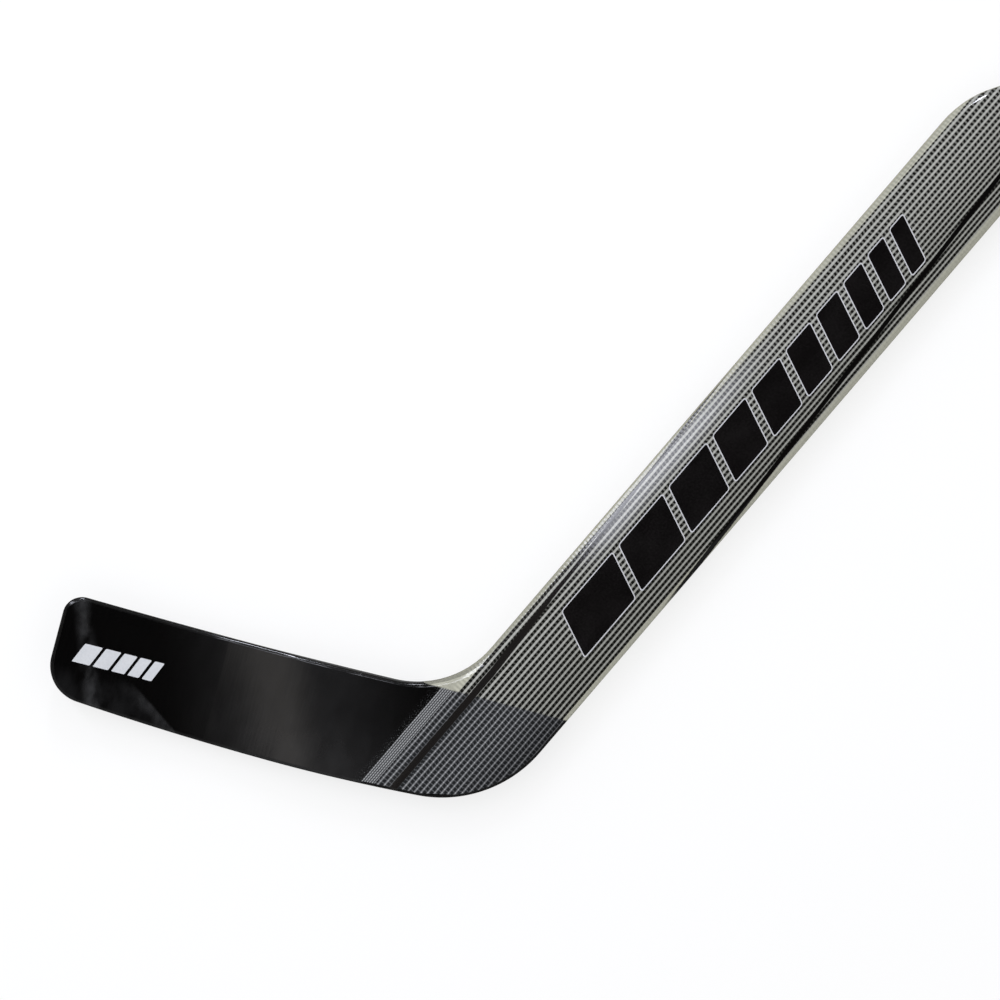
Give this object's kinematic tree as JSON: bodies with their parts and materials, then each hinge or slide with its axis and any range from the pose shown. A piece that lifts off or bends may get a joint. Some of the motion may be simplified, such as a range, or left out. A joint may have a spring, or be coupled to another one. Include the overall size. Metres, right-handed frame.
{
  "type": "hockey goalie stick",
  "caption": "Ice hockey goalie stick with a wide flat paddle, rounded heel, gloss black blade with a raised toe, and a narrow straight shaft.",
  "frame": {"origin": "on the flat back face, where the centrelines of the paddle and the blade cross", "axes": "+X up the paddle and shaft to the butt end, +Y to the blade side, +Z out of the front face"},
  "size_m": [1.6545, 0.3672, 0.0285],
  "materials": {
    "pale_wood": "clear gloss over pale wood",
    "core_wood": "sawn wood",
    "ply_wood": "thin wood ply",
    "dark_edge": "gloss black lacquer over wood",
    "foam": "closed-cell foam",
    "sole_plastic": "black wear plastic",
    "woven_skin": "woven glass and carbon under clear gloss resin",
    "black_skin": "gloss black resin over woven glass",
    "shaft_sheet": "woven glass under clear gloss resin"
  },
  "bodies": {
    "root": {"shaft_spine": "core_wood", "shaft_front_strip": "pale_wood", "shaft_rear_strip": "pale_wood", "shaft_front_ply": "ply_wood", "shaft_back_ply": "ply_wood", "shaft_front_sheet": "shaft_sheet", "shaft_back_sheet": "shaft_sheet", "paddle_front_plank": "pale_wood", "paddle_rear_plank": "pale_wood", "paddle_front_foam": "foam", "paddle_rear_foam": "foam", "paddle_front_skin": "woven_skin", "paddle_back_skin": "woven_skin", "heel_block": "dark_edge", "blade_stringer": "core_wood", "blade_upper_foam": "foam", "blade_lower_foam": "foam", "blade_top_rail": "dark_edge", "blade_sole_strip": "sole_plastic", "toe_block": "dark_edge", "blade_front_skin": "black_skin", "blade_back_skin": "black_skin"}
  },
  "joints": []
}
